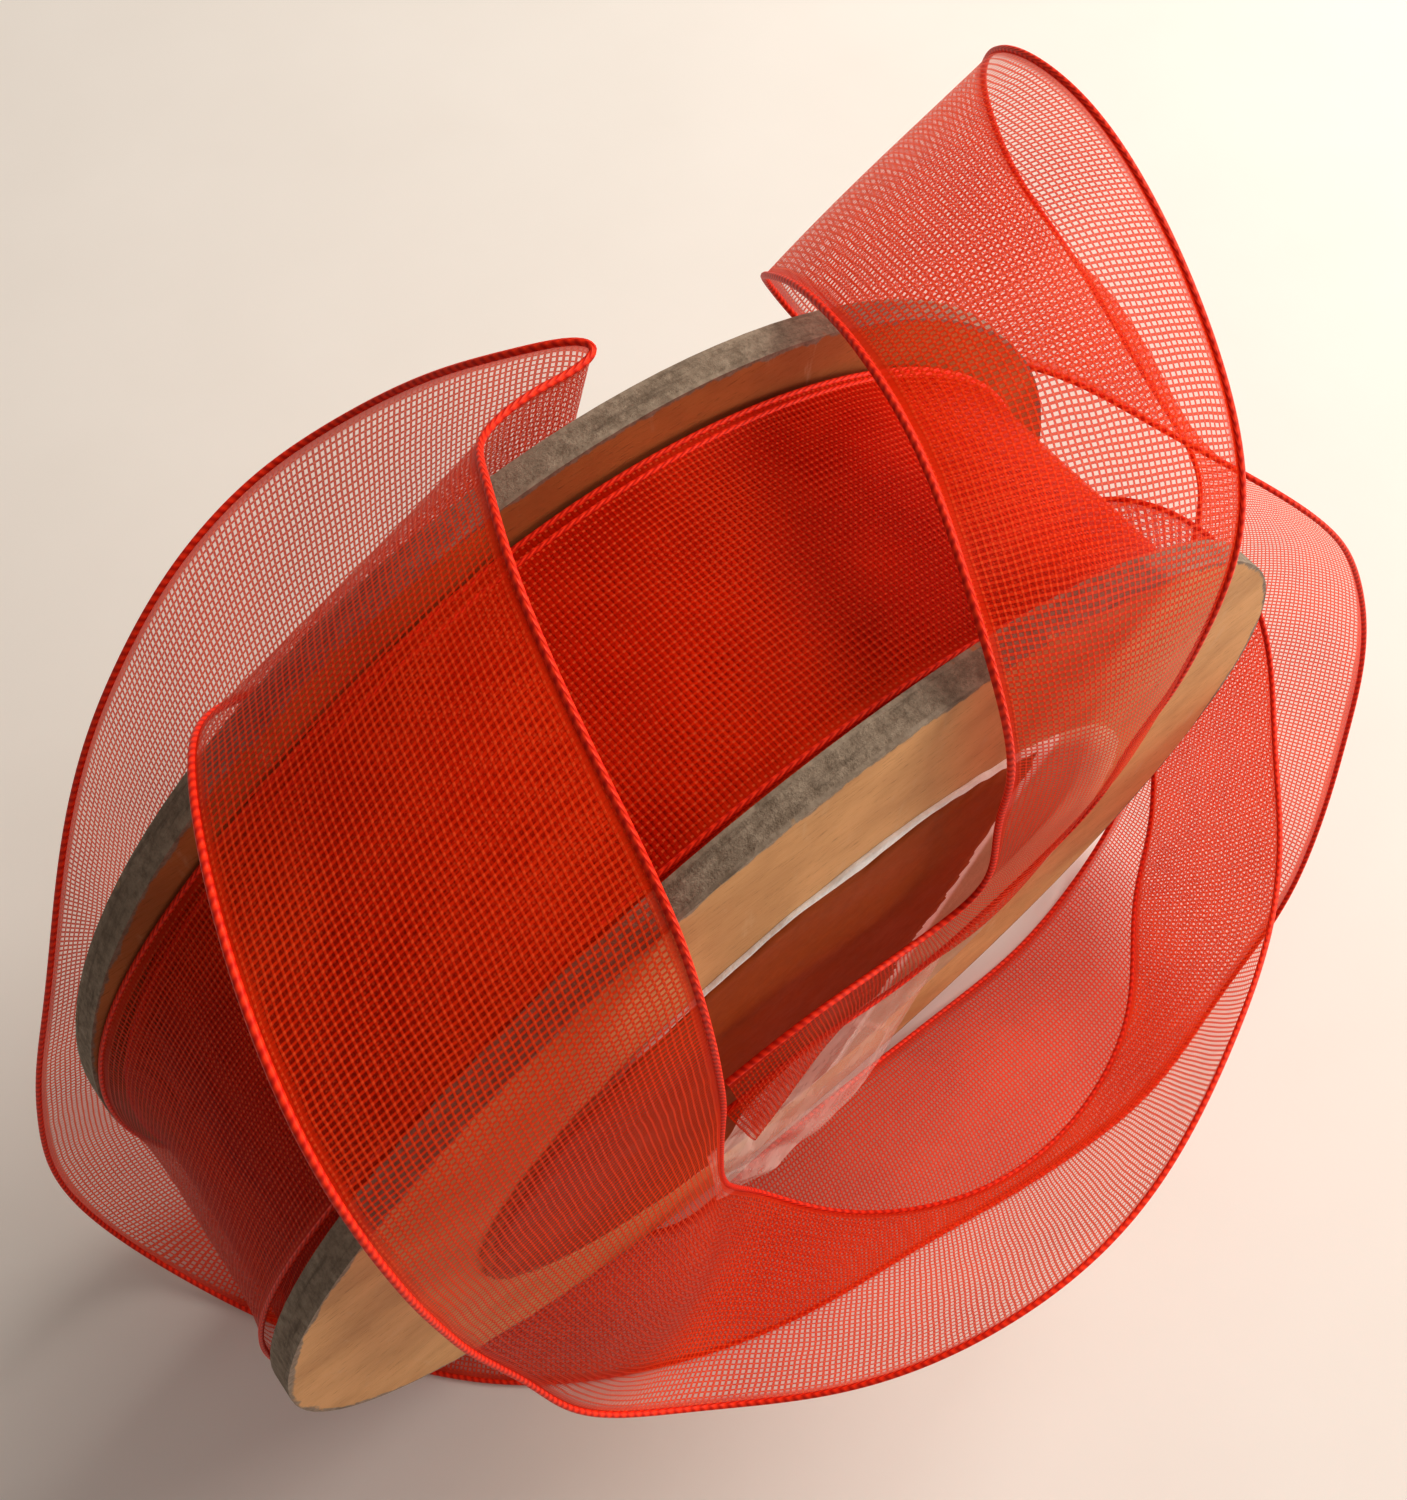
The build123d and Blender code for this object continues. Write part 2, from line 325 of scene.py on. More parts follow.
def organza_material(name, light, dark, painted_glint, gap_cover=0.17, thread_cover=0.86):
    """Sheer woven organza: red threads with hazy gaps, closer packed by the selvedges, and a
    painted highlight where threads cross.
    """
    material, tree, principled, output = new_material(name)
    weft, warp, along, across = weave_masks(tree)
    middle = RIBBON_WIDTH / 2
    from_edge = math_node(
        tree, "SUBTRACT", middle,
        math_node(tree, "ABSOLUTE", math_node(tree, "SUBTRACT", across, middle)),
    )
    border = ramp(tree, from_edge, 0.3 * MM, 0.8 * MM, 0.9, 0.0)
    threads = math_node(tree, "MAXIMUM", weft, warp)
    cover = math_node(tree, "MAXIMUM", threads, border)
    shade = noise_node(tree, flat_coordinates(tree), 110.0, 3.0)
    tint = colour_mix(tree, ramp(tree, shade, 0.3, 0.7), dark, light)
    # Painted highlight: a lighter colour painted where weft and warp threads cross.
    crossing = math_node(tree, "MULTIPLY", weft, warp)
    tint_with_painted_glint = colour_mix(tree, crossing, tint, painted_glint)
    tree.links.new(tint_with_painted_glint, principled.inputs["Base Color"])
    tree.links.new(ramp(tree, shade, 0.3, 0.7, 0.26, 0.44), principled.inputs["Roughness"])
    principled.inputs["Specular IOR Level"].default_value = 0.2
    principled.inputs["Specular Tint"].default_value = (1.0, 0.35, 0.2, 1.0)
    principled.inputs["Sheen Weight"].default_value = 0.04
    principled.inputs["Sheen Tint"].default_value = (1.0, 0.25, 0.15, 1.0)
    height = math_node(tree, "ADD", weft, math_node(tree, "MULTIPLY", warp, 0.8))
    normal = add_bump(tree, height, principled, 0.05 * MM, 0.6)
    through = tree.nodes.new("ShaderNodeBsdfTranslucent")
    tree.links.new(tint_with_painted_glint, through.inputs["Color"])
    tree.links.new(normal, through.inputs["Normal"])
    cloth = tree.nodes.new("ShaderNodeMixShader")
    cloth.inputs[0].default_value = 0.45
    tree.links.new(principled.outputs[0], cloth.inputs[1])
    tree.links.new(through.outputs[0], cloth.inputs[2])
    clear = tree.nodes.new("ShaderNodeBsdfTransparent")
    clear.inputs["Color"].default_value = (1.0, 0.94, 0.915, 1.0)
    sheer = tree.nodes.new("ShaderNodeMixShader")
    tree.links.new(ramp(tree, cover, 0.0, 1.0, gap_cover, thread_cover), sheer.inputs[0])
    tree.links.new(clear.outputs[0], sheer.inputs[1])
    tree.links.new(cloth.outputs[0], sheer.inputs[2])
    tree.links.new(sheer.outputs[0], output.inputs["Surface"])
    return material


def selvedge_material():
    """Twisted cord edge: painted highlight on the strands winding round, painted shade between
    them.
    """
    material, tree, principled, _ = new_material("selvedge_cord")
    flat = flat_coordinates(tree)
    along, around, _ = split_vector(tree, flat)
    winding = math_node(tree, "ADD", math_node(tree, "DIVIDE", along, 0.5 * MM), around)
    strand = math_node(tree, "PINGPONG", winding, 0.5)
    fuzz = noise_node(tree, flat, 900.0, 3.0)
    # Painted highlight on each strand and painted shade in the grooves between strands.
    twist_highlight_and_shade = ramp(tree, strand, 0.05, 0.4)
    tint = colour_mix(tree, twist_highlight_and_shade, (0.62, 0.014, 0.004), (0.95, 0.050, 0.012))
    tree.links.new(tint, principled.inputs["Base Color"])
    tree.links.new(ramp(tree, fuzz, 0.3, 0.7, 0.38, 0.6), principled.inputs["Roughness"])
    principled.inputs["Specular Tint"].default_value = (1.0, 0.5, 0.4, 1.0)
    add_bump(tree, strand, principled, 0.06 * MM, 0.8)
    return material


def pack_core_material():
    """The turns below the sheer ones: many layers of weave seen as one deep red."""
    material, tree, principled, _ = new_material("wound_layers")
    weft, warp, along, across = weave_masks(tree, 0.24, 0.2)
    leaning = math_node(tree, "ADD", along, math_node(tree, "MULTIPLY", across, 0.16))
    second = thread_lines(tree, leaning, 0.22, 0.36 * MM)
    threads = math_node(tree, "MAXIMUM", weft, warp)
    patches = noise_node(tree, flat_coordinates(tree), 90.0, 3.0)
    deep = colour_mix(tree, second, (0.50, 0.007, 0.001), (0.74, 0.016, 0.003))
    woven = colour_mix(tree, threads, deep, (0.95, 0.062, 0.010))
    shadowed = colour_mix(tree, ramp(tree, patches, 0.25, 0.6), (0.52, 0.008, 0.001), woven)
    tree.links.new(shadowed, principled.inputs["Base Color"])
    tree.links.new(ramp(tree, patches, 0.3, 0.7, 0.38, 0.55), principled.inputs["Roughness"])
    principled.inputs["Specular Tint"].default_value = (1.0, 0.4, 0.3, 1.0)
    add_bump(tree, math_node(tree, "ADD", threads, second), principled, 0.06 * MM, 0.8)
    return material


def label_paper_material():
    """White paper edge, darkened at its left by painted shade, with brown pulp where the print is
    torn off.
    """
    material, tree, principled, _ = new_material("label_paper")
    place = object_coordinates(tree)
    x, _, z = split_vector(tree, place)
    fibres = noise_node(tree, place, 1500.0, 5.0, 0.75)
    blotches = noise_node(tree, place, 260.0, 4.0)
    white = colour_mix(tree, fibres, (0.80, 0.74, 0.68), (0.98, 0.96, 0.93))
    brown = colour_mix(tree, blotches, (0.42, 0.26, 0.15), (0.66, 0.47, 0.31))
    past_tear = ramp(tree, math_node(tree, "SUBTRACT", x, math_node(tree, "MULTIPLY", z, 0.25)),
                     9.0 * MM, 9.8 * MM)
    # Painted shade: the left of the white edge is painted red-brown, where it lies in shade under
    # the ribbon.
    left_painted_shade = ramp(tree, x, -14.0 * MM, -8.0 * MM, 1.0, 0.0)
    edge = colour_mix(tree, left_painted_shade, white, (0.40, 0.17, 0.07))
    tree.links.new(colour_mix(tree, past_tear, edge, brown), principled.inputs["Base Color"])
    principled.inputs["Roughness"].default_value = 0.9
    add_bump(tree, math_node(tree, "ADD", fibres, blotches), principled, 0.12 * MM, 1.0)
    return material


def label_print_material():
    """Dark red-brown printed paper with a satin coat, rubbed in places."""
    material, tree, principled, _ = new_material("label_print")
    place = object_coordinates(tree)
    rubbed = noise_node(tree, place, 220.0, 5.0, 0.7)
    fine = noise_node(tree, place, 2000.0, 4.0)
    base = colour_mix(tree, fine, (0.24, 0.042, 0.004), (0.36, 0.074, 0.009))
    tree.links.new(colour_mix(tree, ramp(tree, rubbed, 0.60, 0.8, 0.0, 0.45), base,
                              (0.40, 0.15, 0.05)), principled.inputs["Base Color"])
    principled.inputs["Specular IOR Level"].default_value = 0.1
    tree.links.new(ramp(tree, rubbed, 0.3, 0.7, 0.40, 0.6), principled.inputs["Roughness"])
    add_bump(tree, math_node(tree, "ADD", fine, rubbed), principled, 0.04 * MM, 0.6)
    return material


def clear_film_material():
    """Clear adhesive film: glossy, hazy along its creases."""
    material, tree, principled, output = new_material("clear_film")
    place = object_coordinates(tree)
    haze = noise_node(tree, place, 420.0, 4.0)
    creases = tree.nodes.new("ShaderNodeTexVoronoi")
    creases.feature = "DISTANCE_TO_EDGE"
    creases.inputs["Scale"].default_value = 70.0
    tree.links.new(place, creases.inputs["Vector"])
    line = ramp(tree, creases.outputs["Distance"], 0.0, 0.035, 1.0, 0.0)
    tree.links.new(ramp(tree, haze, 0.3, 0.7, 0.12, 0.34), principled.inputs["Roughness"])
    tree.links.new(colour_mix(tree, haze, (0.84, 0.66, 0.58), (0.93, 0.82, 0.76)),
                   principled.inputs["Base Color"])
    principled.inputs["Coat Weight"].default_value = 0.4
    seen = math_node(tree, "ADD", ramp(tree, haze, 0.35, 0.75, 0.42, 0.54),
                     math_node(tree, "MULTIPLY", line, 0.12), clamp=True)
    tree.links.new(seen, principled.inputs["Alpha"])
    height = math_node(tree, "ADD", line, haze)
    add_bump(tree, height, principled, 0.06 * MM, 0.7)
    return material


def glue_material():
    material, tree, principled, _ = new_material("dried_glue")
    lumps = noise_node(tree, object_coordinates(tree), 700.0, 3.0)
    tree.links.new(colour_mix(tree, lumps, (0.58, 0.50, 0.36), (0.78, 0.72, 0.58)),
                   principled.inputs["Base Color"])
    tree.links.new(ramp(tree, lumps, 0.3, 0.7, 0.25, 0.5), principled.inputs["Roughness"])
    add_bump(tree, lumps, principled, 0.08 * MM, 0.7)
    return material


# ---------------------------------------------------------------- mesh helpers
def mesh_object(name, vertices, faces, material, flat=None, smooth=True):
    """A piece from vertices and faces, with its flat coordinates per vertex if given."""
    mesh = bpy.data.meshes.new(name)
    mesh.from_pydata([tuple(v) for v in vertices], [], faces)
    if flat is not None:
        layer = mesh.uv_layers.new(name="flat")
        for loop in mesh.loops:
            layer.data[loop.index].uv = flat[loop.vertex_index]
    for polygon in mesh.polygons:
        polygon.use_smooth = smooth
    mesh.materials.append(material)
    piece = bpy.data.objects.new(name, mesh)
    bpy.context.scene.collection.objects.link(piece)
    return piece


def grid_faces(rows, columns, closed_columns=False):
    """Quads of a rows x columns grid of vertices, counted row by row."""
    faces = []
    last = columns if closed_columns else columns - 1
    for i in range(rows - 1):
        for j in range(last):
            k = (j + 1) % columns
            here, above = i * columns, (i + 1) * columns
            faces.append((here + j, here + k, above + k, above + j))
    return faces


def unit(vectors):
    return vectors / np.linalg.norm(vectors, axis=-1, keepdims=True).clip(1e-12)


def spread_along(points):
    """Distance run along a line of points, from 0."""
    steps = np.linalg.norm(np.diff(points, axis=0), axis=1)
    return np.concatenate([[0.0], np.cumsum(steps)])


def smooth_line(points, at, spacing):
    """A Catmull-Rom line through points, with a parameter at each, read every spacing."""
    ends = np.concatenate([[2 * points[0] - points[1]], points, [2 * points[-1] - points[-2]]])
    times = np.concatenate([[2 * at[0] - at[1]], at, [2 * at[-1] - at[-2]]])
    read = np.arange(at[0], at[-1], spacing)
    span = np.clip(np.searchsorted(at, read, side="right") - 1, 0, len(at) - 2)
    p0, p1, p2, p3 = (ends[span + k] for k in range(4))
    t0, t1, t2, t3 = (times[span + k] for k in range(4))
    t = read
    a1 = p0 * ((t1 - t) / (t1 - t0))[:, None] + p1 * ((t - t0) / (t1 - t0))[:, None]
    a2 = p1 * ((t2 - t) / (t2 - t1))[:, None] + p2 * ((t - t1) / (t2 - t1))[:, None]
    a3 = p2 * ((t3 - t) / (t3 - t2))[:, None] + p3 * ((t - t2) / (t3 - t2))[:, None]
    b1 = a1 * ((t2 - t) / (t2 - t0))[:, None] + a2 * ((t - t0) / (t2 - t0))[:, None]
    b2 = a2 * ((t3 - t) / (t3 - t1))[:, None] + a3 * ((t - t1) / (t3 - t1))[:, None]
    return b1 * ((t2 - t) / (t2 - t1))[:, None] + b2 * ((t - t1) / (t2 - t1))[:, None]


def soften(line, reach):
    """Rounds a densely read line off over reach points each way, its ends kept."""
    offsets = np.arange(-3 * reach, 3 * reach + 1)
    weights = np.exp(-0.5 * (offsets / reach) ** 2)
    weights /= weights.sum()
    padded = np.concatenate([np.repeat(line[:1], 3 * reach, axis=0), line,
                             np.repeat(line[-1:], 3 * reach, axis=0)])
    columns = [np.convolve(padded[:, k], weights, "valid") for k in range(line.shape[1])]
    return np.stack(columns, -1)


def tube_mesh(line, radius, sides=8):
    """A round cord along a line of points, its flat coordinates along and around it."""
    run = unit(np.gradient(line, axis=0))
    side = np.cross(run, np.eye(3)[np.argmin(np.abs(run[0]))])
    for k in range(1, len(run)):
        side[k] = side[k - 1] - run[k] * np.dot(side[k - 1], run[k])
        side[k] /= np.linalg.norm(side[k])
    side = unit(side)
    up = np.cross(side, run)
    turn = np.linspace(0, math.tau, sides, endpoint=False)
    ring = side[:, None] * np.cos(turn)[None, :, None] + up[:, None] * np.sin(turn)[None, :, None]
    vertices = (line[:, None] + radius * ring).reshape(-1, 3)
    along = spread_along(line)
    flat = [(a, k / sides) for a in along for k in range(sides)]
    return vertices, grid_faces(len(line), sides, True), flat


def joined(parts):
    """Several (vertices, faces, flat) as one."""
    vertices, faces, flat = [], [], []
    for more_vertices, more_faces, more_flat in parts:
        start = len(vertices)
        vertices += [tuple(v) for v in more_vertices]
        faces += [tuple(start + k for k in face) for face in more_faces]
        flat += list(more_flat)
    return vertices, faces, flat


# ---------------------------------------------------------------- loose ribbon
LEAVES_AT = math.radians(-12.0)
ON_PACK = PACK_RADIUS / MM + 0.2
LEAVE_X = ON_PACK * math.cos(LEAVES_AT)
LEAVE_Z = ON_PACK * math.sin(LEAVES_AT)
ON_FLOOR = FLOOR_Z / MM + 0.25

# The ribbon's two selvedges from the wound turns to the free end, in millimetres
RIBBON_ROUTE = [
    ((LEAVE_X, 7.5, LEAVE_Z), (LEAVE_X, -7.5, LEAVE_Z)),
    ((33, 7, -1), (31.5, -7.2, -6.5)),
    ((35.5, 3.5, 4), (33.5, -6.5, -7.5)),
    ((37, -3, 5), (35, -6, -9.5)),
    ((37.3, -8.5, 0.5), (36, -5.5, -14)),
    ((33.5, -14, -2), (31.5, -10.8, -17)),
    ((27, -20.3, -2), (25.5, -14.5, -15.5)),
    ((17, -25.3, -0.5), (18.5, -20.5, -14.5)),
    ((5.5, -28.7, -0.5), (9.5, -23, -14)),
    ((-1.5, -28.5, -0.5), (4, -22.5, -13)),
    ((-8, -27, -2), (-0.5, -20.5, -13.5)),
    ((-13.5, -24.5, -3.5), (-4.5, -17, -14)),
    ((-17.5, -21.5, -4), (-7, -14, -12)),
    ((-21.5, -19, -0.5), (-9, -13.5, -6)),
    ((-23.5, -15.5, 7), (-10, -13.5, 9)),
    ((-24.5, -13.5, 16), (-9.5, -13, 19)),
    ((-24.5, -12, 24), (-9.5, -12, 27.5)),
    ((-24, -9, 30.5), (-9, -9, 33)),
    ((-23, -5, 34), (-8, -3, 35.5)),
    ((-21.5, 0, 34.5), (-7, 2, 38)),
    ((-19.3, 6.8, 32.4), (-4.6, 7.2, 37)),
    ((-17.6, 10.4, 28.3), (-3.1, 10.2, 34.8)),
    ((-12.6, 10.6, 25), (-1, 10.6, 34.6)),
    ((-8.6, 10.7, 22.2), (0.6, 10.8, 34.2)),
    ((-4.2, 10.9, 20), (2.4, 11, 33.6)),
    ((0.6, 11.3, 18.9), (4.0, 11.4, 33.7)),
    ((1.4, 13.6, 18.8), (3.4, 12.4, 33.7)),
    ((-1.6, 15.4, 18.3), (0.9, 13.5, 33.2)),
    ((-5.2, 15.2, 16.4), (-1, 16.6, 30.7)),
    ((-9.8, 13.6, 14.4), (-4.8, 21.4, 25.2)),
    ((-13.5, 12.8, 13), (-8.9, 22.8, 23.2)),
    ((-16.8, 12.3, 11.6), (-12.8, 22.4, 22.4)),
    ((-20.5, 12, 7), (-19.2, 21.3, 18.3)),
    ((-23.5, 12, -0.5), (-25, 20.6, 11.5)),
    ((-26, 12, -9), (-32.5, 17.5, 1)),
    ((-28, 12, -18), (-38, 16.5, -9)),
    ((-29, 13, -27), (-42, 15, -23)),
    ((-28, 14, -31.5), (-41.5, 11.5, -31.5)),
    ((-25, 11, ON_FLOOR), (-38, 4, ON_FLOOR)),
    ((-20, 4, ON_FLOOR), (-32, -5, ON_FLOOR)),
    ((-17, -3, ON_FLOOR), (-26, -11.5, ON_FLOOR)),
    ((-14, -8.2, -32.2), (-19.5, -15.8, ON_FLOOR)),
    ((-11, -10.6, -30.3), (-14, -18.3, ON_FLOOR)),
    ((-4, -10.6, -27), (-7, -20.5, ON_FLOOR)),
    ((4, -10.6, -27.5), (2, -22, ON_FLOOR)),
    ((13, -10.4, -31), (13, -24, ON_FLOOR)),
    ((24, -10.2, ON_FLOOR), (24, -24.5, ON_FLOOR)),
    ((32, -8.6, -32), (32.5, -22.5, -31)),
    ((36.5, -7, -29), (38, -21, -25)),
    ((38.5, -5, -24), (41, -18.5, -18)),
    ((39.5, -3, -18), (43, -15.5, -10)),
    ((40.5, -1.5, -12), (44, -12.5, -3)),
    ((41.5, -0.5, -7), (42, -10, 4)),
    ((42, 0.5, -2), (38.5, -8, 10)),
    ((42, 2, 1.5), (35, -4.5, 13.5)),
    ((41.5, 4, 3.5), (32.5, 0, 14.8)),
    ((42.3, 8.7, 4.5), (32.2, 6, 13.5)),
    ((42, 14, 8), (30.8, 10.4, 12.5)),
    ((37, 18, 17), (24, 13.5, 14)),
    ((33, 18, 25), (19.5, 16, 18)),
    ((31, 17, 29), (17.5, 17, 22.5)),
    ((28.5, 13.5, 33.5), (15, 14.5, 27)),
    ((27, 8, 35.5), (12.8, 10, 32)),
    ((24.5, 0.5, 35.5), (10.5, 3.5, 35.5)),
    ((22.3, -6.6, 32.5), (8.5, -2.7, 36)),
    ((19.5, -10.7, 30.5), (5.8, -8, 36)),
    ((18, -11.8, 25), (5.2, -11.3, 32.5)),
    ((18.5, -11.3, 13), (6.8, -11.8, 21.5)),
    ((18, -10.8, 0), (7.8, -12, 11)),
    ((8.5, -10.8, -5), (5, -11.8, 9.5)),
    ((-1.5, -10.6, -2), (-4, -11.8, 12.5)),
    ((-8.5, -10.4, -3), (-9, -11.4, 10)),
]
READ_EVERY = 0.5 * MM
ACROSS = 29


def ribbon_surface():
    """Rows of points across the ribbon, each row 15 mm of cloth, bowed where it is gathered."""
    one = np.array([pair[0] for pair in RIBBON_ROUTE], float) * MM
    two = np.array([pair[1] for pair in RIBBON_ROUTE], float) * MM
    at = spread_along((one + two) / 2)
    one = soften(smooth_line(one, at, READ_EVERY), 3)
    two = soften(smooth_line(two, at, READ_EVERY), 3)
    middle = (one + two) / 2
    chord = two - one
    span = np.linalg.norm(chord, axis=1)
    over = span > RIBBON_WIDTH
    chord[over] *= (RIBBON_WIDTH / span[over])[:, None]
    span = np.minimum(span, RIBBON_WIDTH)
    run = unit(np.gradient(middle, axis=0))
    normal = unit(np.cross(chord, run))
    outward = np.sign((normal * middle).sum(1))
    floor_part = middle[:, 2] < FLOOR_Z + 6 * MM
    outward[floor_part] = np.sign(normal[floor_part, 2])
    bow = np.sqrt(0.375 * span * (RIBBON_WIDTH - span)) * outward
    bow = soften(bow[:, None], 6)[:, 0]
    t = np.linspace(0.0, 1.0, ACROSS)
    rows = (middle[:, None] + chord[:, None] * (t - 0.5)[None, :, None]
            + (normal * bow[:, None])[:, None] * (1 - (2 * t - 1) ** 2)[None, :, None])
    return rows


def clear_of_spool(rows):
    """Moves points that would lie in a flange, its rim or the floor just outside it."""
    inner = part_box("near_flange_inner_liner")[1][1]
    gap = SPOOL_CLEARANCE
    radius = np.hypot(rows[..., 0], rows[..., 2])
    beyond = np.abs(rows[..., 1]) > abs(inner) - gap
    before = np.abs(rows[..., 1]) < abs(NEAR_FACE_Y) + gap
    inside = beyond & before & (radius < FLANGE_RADIUS + gap)
    deep = FLANGE_RADIUS + gap - radius
    to_face = abs(NEAR_FACE_Y) + gap - np.abs(rows[..., 1])
    by_rim = inside & (deep < to_face)
    by_face = inside & ~by_rim
    scale = (FLANGE_RADIUS + gap) / radius[by_rim]
    rows[..., 0][by_rim] *= scale
    rows[..., 2][by_rim] *= scale
    rows[..., 1][by_face] += np.sign(rows[..., 1][by_face]) * to_face[by_face]
    rows[..., 2] = np.maximum(rows[..., 2], FLOOR_Z + SELVEDGE_RADIUS)
    return rows


def add_loose_ribbon(cloth, cord):
    rows = clear_of_spool(ribbon_surface())
    rows = soften(rows.reshape(len(rows), -1), 3).reshape(rows.shape)
    rows = clear_of_spool(rows)
    rows = soften(rows.reshape(len(rows), -1), 2).reshape(rows.shape)
    along = spread_along(rows[:, ACROSS // 2])
    across = np.linspace(0.0, RIBBON_WIDTH, ACROSS)
    flat = [(a, c) for a in along for c in across]
    ribbon = mesh_object("loose_ribbon", rows.reshape(-1, 3),
                         grid_faces(len(rows), ACROSS), cloth, flat)
    edges = joined([tube_mesh(rows[:, 0], SELVEDGE_RADIUS),
                    tube_mesh(rows[:, -1], SELVEDGE_RADIUS)])
    selvedges = mesh_object("loose_ribbon_selvedges", edges[0], edges[1], cord, edges[2])
    stretches = [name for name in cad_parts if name.startswith("loose_")]
    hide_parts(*stretches)
    for piece in (ribbon, selvedges):
        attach(piece, "root")


# ---------------------------------------------------------------- wound ribbon
SHEER_TURNS = 3
LAYER_STEP = 0.12 * MM
RING_ROUNDING = 0.4 * MM
RING_CHAMFER = 0.3 * MM
SLACK_CENTRE = math.radians(186.0)
SLACK_REACH = 0.8


def add_wound_ribbon(core, cloth, cord):
    """A solid ring for the deep turns, with the last turns over it as one sheer spiral."""
    half = RIBBON_WIDTH / 2
    core_radius = PACK_RADIUS - (SHEER_TURNS + 0.6) * LAYER_STEP
    tube_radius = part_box("core_tube_outer_ply")[1][0]
    around = 360
    rounded = half - RING_ROUNDING
    chamfered = core_radius - RING_CHAMFER
    profile = [(tube_radius, -half), (chamfered, -half), (core_radius, -rounded)]
    profile += [
        (core_radius - 0.06 * MM * math.sin(math.pi * k / 12), -rounded + k / 12 * 2 * rounded)
        for k in range(1, 12)
    ]
    profile += [(core_radius, rounded), (chamfered, half), (tube_radius, half)]
    vertices, flat = [], []
    for k in range(around + 1):
        angle = math.tau * k / around
        slack = 0.05 * MM * math.sin(3 * angle + 1.0)
        for radius, y in profile:
            r = radius + (slack if radius > tube_radius else 0.0)
            vertices.append((r * math.cos(angle), y, r * math.sin(angle)))
            depth = core_radius - radius if abs(y) >= half - 0.01 * MM else 0.0
            flat.append((angle * core_radius, y + half + depth))
    ring = mesh_object("wound_ribbon_layers", vertices,
                       grid_faces(around + 1, len(profile)), core, flat)
    steps = 300 * SHEER_TURNS
    columns = 31
    turns, start_angle = [], LEAVES_AT + math.tau * SHEER_TURNS
    for k in range(steps + 1):
        angle = start_angle - math.tau * SHEER_TURNS * k / steps
        base = core_radius + 0.1 * MM + LAYER_STEP * SHEER_TURNS * k / steps
        turn = SHEER_TURNS * k / steps
        round_left = math.remainder(angle - SLACK_CENTRE, math.tau)
        slack = (0.35 + 0.8 * turn) * MM * math.exp(-(round_left / SLACK_REACH) ** 4)
        shift = 0.5 * MM * math.sin(math.pi * (turn - 1.9)) + 0.05 * MM * math.sin(5.0 * angle)
        row = []
        for c in np.linspace(-1.0, 1.0, columns):
            ripple = 0.035 * MM * math.sin(5.0 * angle + 4.0 * c) * (1 - c * c)
            r = base + ripple + slack * (0.80 + 0.20 * abs(c) ** 3) + 0.12 * MM * abs(c) ** 10
            row.append((r * math.cos(angle), c * (half - 0.2 * MM) + shift, r * math.sin(angle)))
        turns.append(row)
    rows = np.array(turns)
    along = spread_along(rows[:, columns // 2])
    across = np.linspace(0.0, RIBBON_WIDTH, columns)
    piece = mesh_object("wound_ribbon_turns", rows.reshape(-1, 3), grid_faces(len(rows), columns),
                        cloth, [(a, c) for a in along for c in across])
    edges = joined([tube_mesh(rows[:, 0], WOUND_SELVEDGE_RADIUS),
                    tube_mesh(rows[:, -1], WOUND_SELVEDGE_RADIUS)])
    selvedges = mesh_object("wound_ribbon_selvedges", edges[0], edges[1], cord, edges[2])
    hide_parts("wound_ribbon")
    for made in (ring, piece, selvedges):
        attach(made, "root")


# ---------------------------------------------------------------- label
TEAR_X = 9.0 * MM
TEAR_Z = 4.0 * MM
TEAR_SLOPE = 0.25


def wobble(angle, seed, size):
    """A small repeatable unevenness round a circle, in metres."""
    rng = np.random.default_rng(seed)
    total = np.zeros_like(angle)
    for order in range(2, 90):
        total += rng.normal() / order ** 0.6 * np.sin(order * angle + rng.uniform(0, math.tau))
    return size * total / np.abs(total).max()


def layer_mesh(edge, back_y, front_y, lift):
    """A thin flat layer about the axis, from its outline; lift raises its front's rim."""
    rings = 14
    vertices, count = [], len(edge)
    for k in range(rings + 1):
        share = k / rings
        y = front_y - lift * share ** 12
        vertices += [(share * x, y, share * z) for x, z in edge]
    vertices += [(x, back_y - 0.01 * MM, z) for x, z in edge]
    return vertices, grid_faces(rings + 2, count, True)


def add_label(paper, printed):
    """Round paper label with an uneven edge; its print stops short and is torn on one side."""
    faces_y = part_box("label_paper")[0][1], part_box("label_paper")[1][1]
    print_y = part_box("label_print")[0][1]
    angle = np.linspace(0, math.tau, 720, endpoint=False)
    outer = LABEL_RADIUS - 0.15 * MM + wobble(angle, 5, 0.22 * MM)
    ripped = 0.42 * MM + 0.8 * MM * np.exp(-((angle - 1.53) / 0.10) ** 2)
    inner = outer - ripped + wobble(angle, 9, 0.36 * MM)
    disc = [(r * math.cos(t), r * math.sin(t)) for r, t in zip(outer, angle)]
    shape = []
    rough = wobble(angle, 13, 0.9 * MM)
    for r, t, jag in zip(inner, angle, rough):
        x, z = r * math.cos(t), r * math.sin(t)
        tear = TEAR_X + TEAR_SLOPE * (z - TEAR_Z) + jag
        if x > tear:
            scale = TEAR_X - TEAR_SLOPE * TEAR_Z + jag
            scale /= math.cos(t) - TEAR_SLOPE * math.sin(t)
            x, z = scale * math.cos(t), scale * math.sin(t)
        shape.append((x, z))
    back = mesh_object("label_sheet", *layer_mesh(disc, faces_y[1], faces_y[0], 0.10 * MM), paper)
    skin = mesh_object("label_skin", *layer_mesh(shape, faces_y[0], print_y, 0.05 * MM), printed)
    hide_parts("label_paper")
    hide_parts("label_print")
    for piece, slot in ((back, "label_paper"), (skin, "label_print")):
        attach(piece, "root")


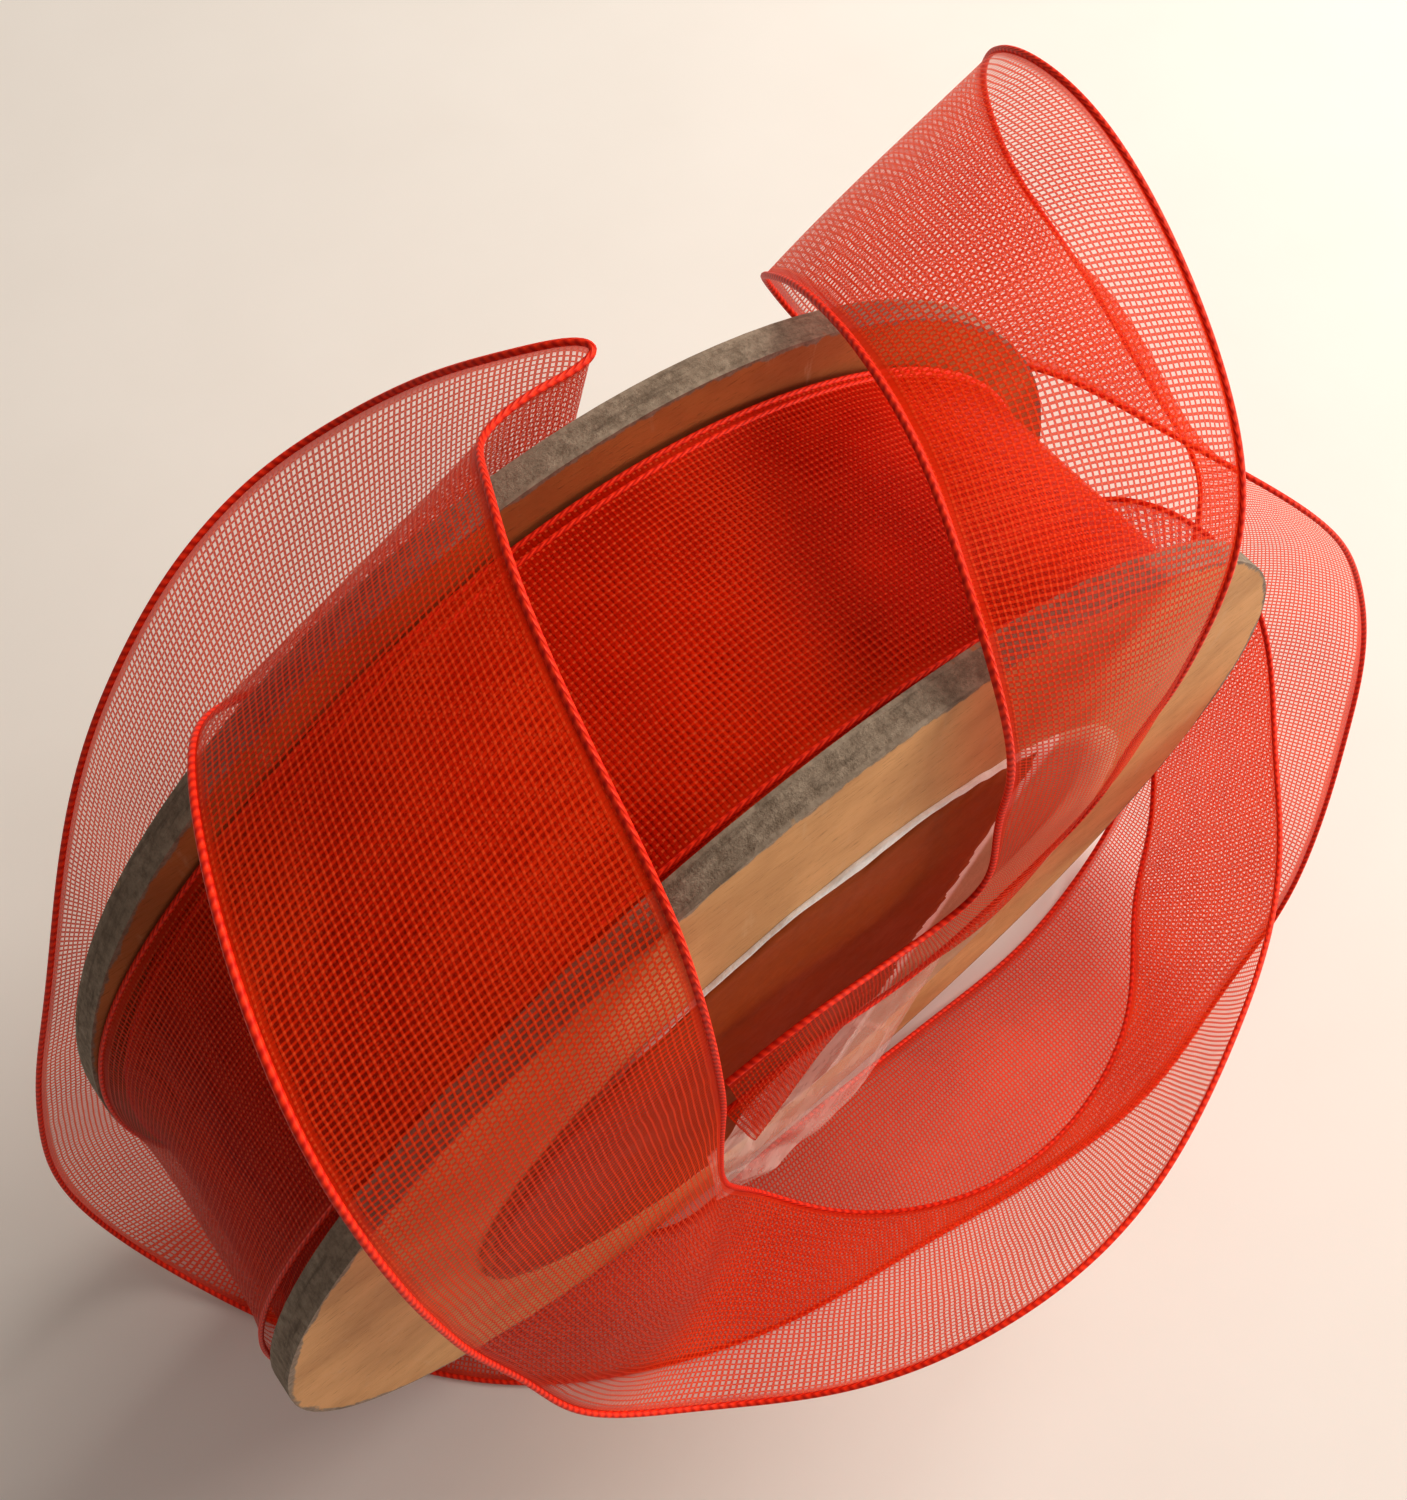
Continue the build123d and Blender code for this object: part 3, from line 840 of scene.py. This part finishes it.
# ---------------------------------------------------------------- clear tape
# Upper and lower edges of the tape from its right end to its flap, in millimetres
TAPE_EDGES = [
    ((11.3, -10.0, -11.0), (9.2, -10.2, -22.5)),
    ((7.6, -10.0, -8.6), (6.4, -11.2, -22.4)),
    ((3.5, -10.1, -6.2), (2.9, -12.1, -21.6)),
    ((-0.8, -10.3, -4.8), (-0.6, -12.4, -19.8)),
    ((-4.2, -10.5, -3.8), (-4.0, -12.5, -17.8)),
    ((-7.2, -11.0, -2.4), (-7.0, -12.6, -16.0)),
    ((-9.6, -11.6, -1.6), (-9.4, -12.2, -14.4)),
]


def add_tape(film):
    """Crumpled film tape: stuck at its right, its left end lifted off the face."""
    upper = np.array([pair[0] for pair in TAPE_EDGES], float) * MM
    lower = np.array([pair[1] for pair in TAPE_EDGES], float) * MM
    at = spread_along((upper + lower) / 2)
    upper = smooth_line(upper, at, 0.25 * MM)
    lower = smooth_line(lower, at, 0.25 * MM)
    columns = 57
    t = np.linspace(0.0, 1.0, columns)
    rows = upper[:, None] * (1 - t)[None, :, None] + lower[:, None] * t[None, :, None]
    rng = np.random.default_rng(21)
    along = np.linspace(0.0, 1.0, len(rows))[:, None]
    crumple = np.zeros(rows.shape[:2])
    for _ in range(5):
        a, b = rng.normal(size=2) * (2.2, 1.6)
        ridge = np.abs(np.mod(a * along + b * t[None, :] + rng.uniform(0, 1), 1.0) - 0.5)
        crumple += (0.5 - ridge) * rng.uniform(0.1, 1.0)
    crumple -= crumple.min()
    loose = 0.06 + 0.94 * np.clip((along - 0.55) * 2.6 + t[None, :] * 0.3, 0.0, 1.0)
    rows[..., 1] -= 0.9 * MM * crumple * loose
    rows[..., 1] = np.minimum(rows[..., 1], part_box("label_print")[0][1] - 0.06 * MM)
    piece = mesh_object("clear_tape", rows.reshape(-1, 3), grid_faces(len(rows), columns),
                        film, smooth=False)
    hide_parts("clear_tape_tab")
    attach(piece, "root")


# ---------------------------------------------------------------- CAD nodes' materials
def paint_cad(materials):
    """Gives each carried-over CAD node the material of its kind."""
    for name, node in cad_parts.items():
        for key, material in materials:
            if key in name:
                for holder in node.material_slots:
                    holder.link = "OBJECT"
                    holder.material = material
                break


add_camera()
add_studio()
organza = organza_material(
    "organza", (0.93, 0.066, 0.008), (0.76, 0.032, 0.003), (0.98, 0.13, 0.03))
wound_organza = organza_material(
    "wound_organza", (0.95, 0.060, 0.005), (0.70, 0.018, 0.001), (0.98, 0.17, 0.05))
cord = selvedge_material()
film = clear_film_material()
paint_cad([
    ("inner_liner", kraft_material("kraft_inner", (0.52, 0.20, 0.05), (0.38, 0.13, 0.03))),
    ("liner", kraft_material("kraft_paper", (0.68, 0.39, 0.17), (0.52, 0.28, 0.11))),
    ("board", chipboard_material()),
    ("tube", tube_material()),
    ("glue", glue_material()),
    ("tape", film),
])
add_label(label_paper_material(), label_print_material())
add_tape(film)
add_wound_ribbon(pack_core_material(), wound_organza, cord)
add_loose_ribbon(organza, cord)
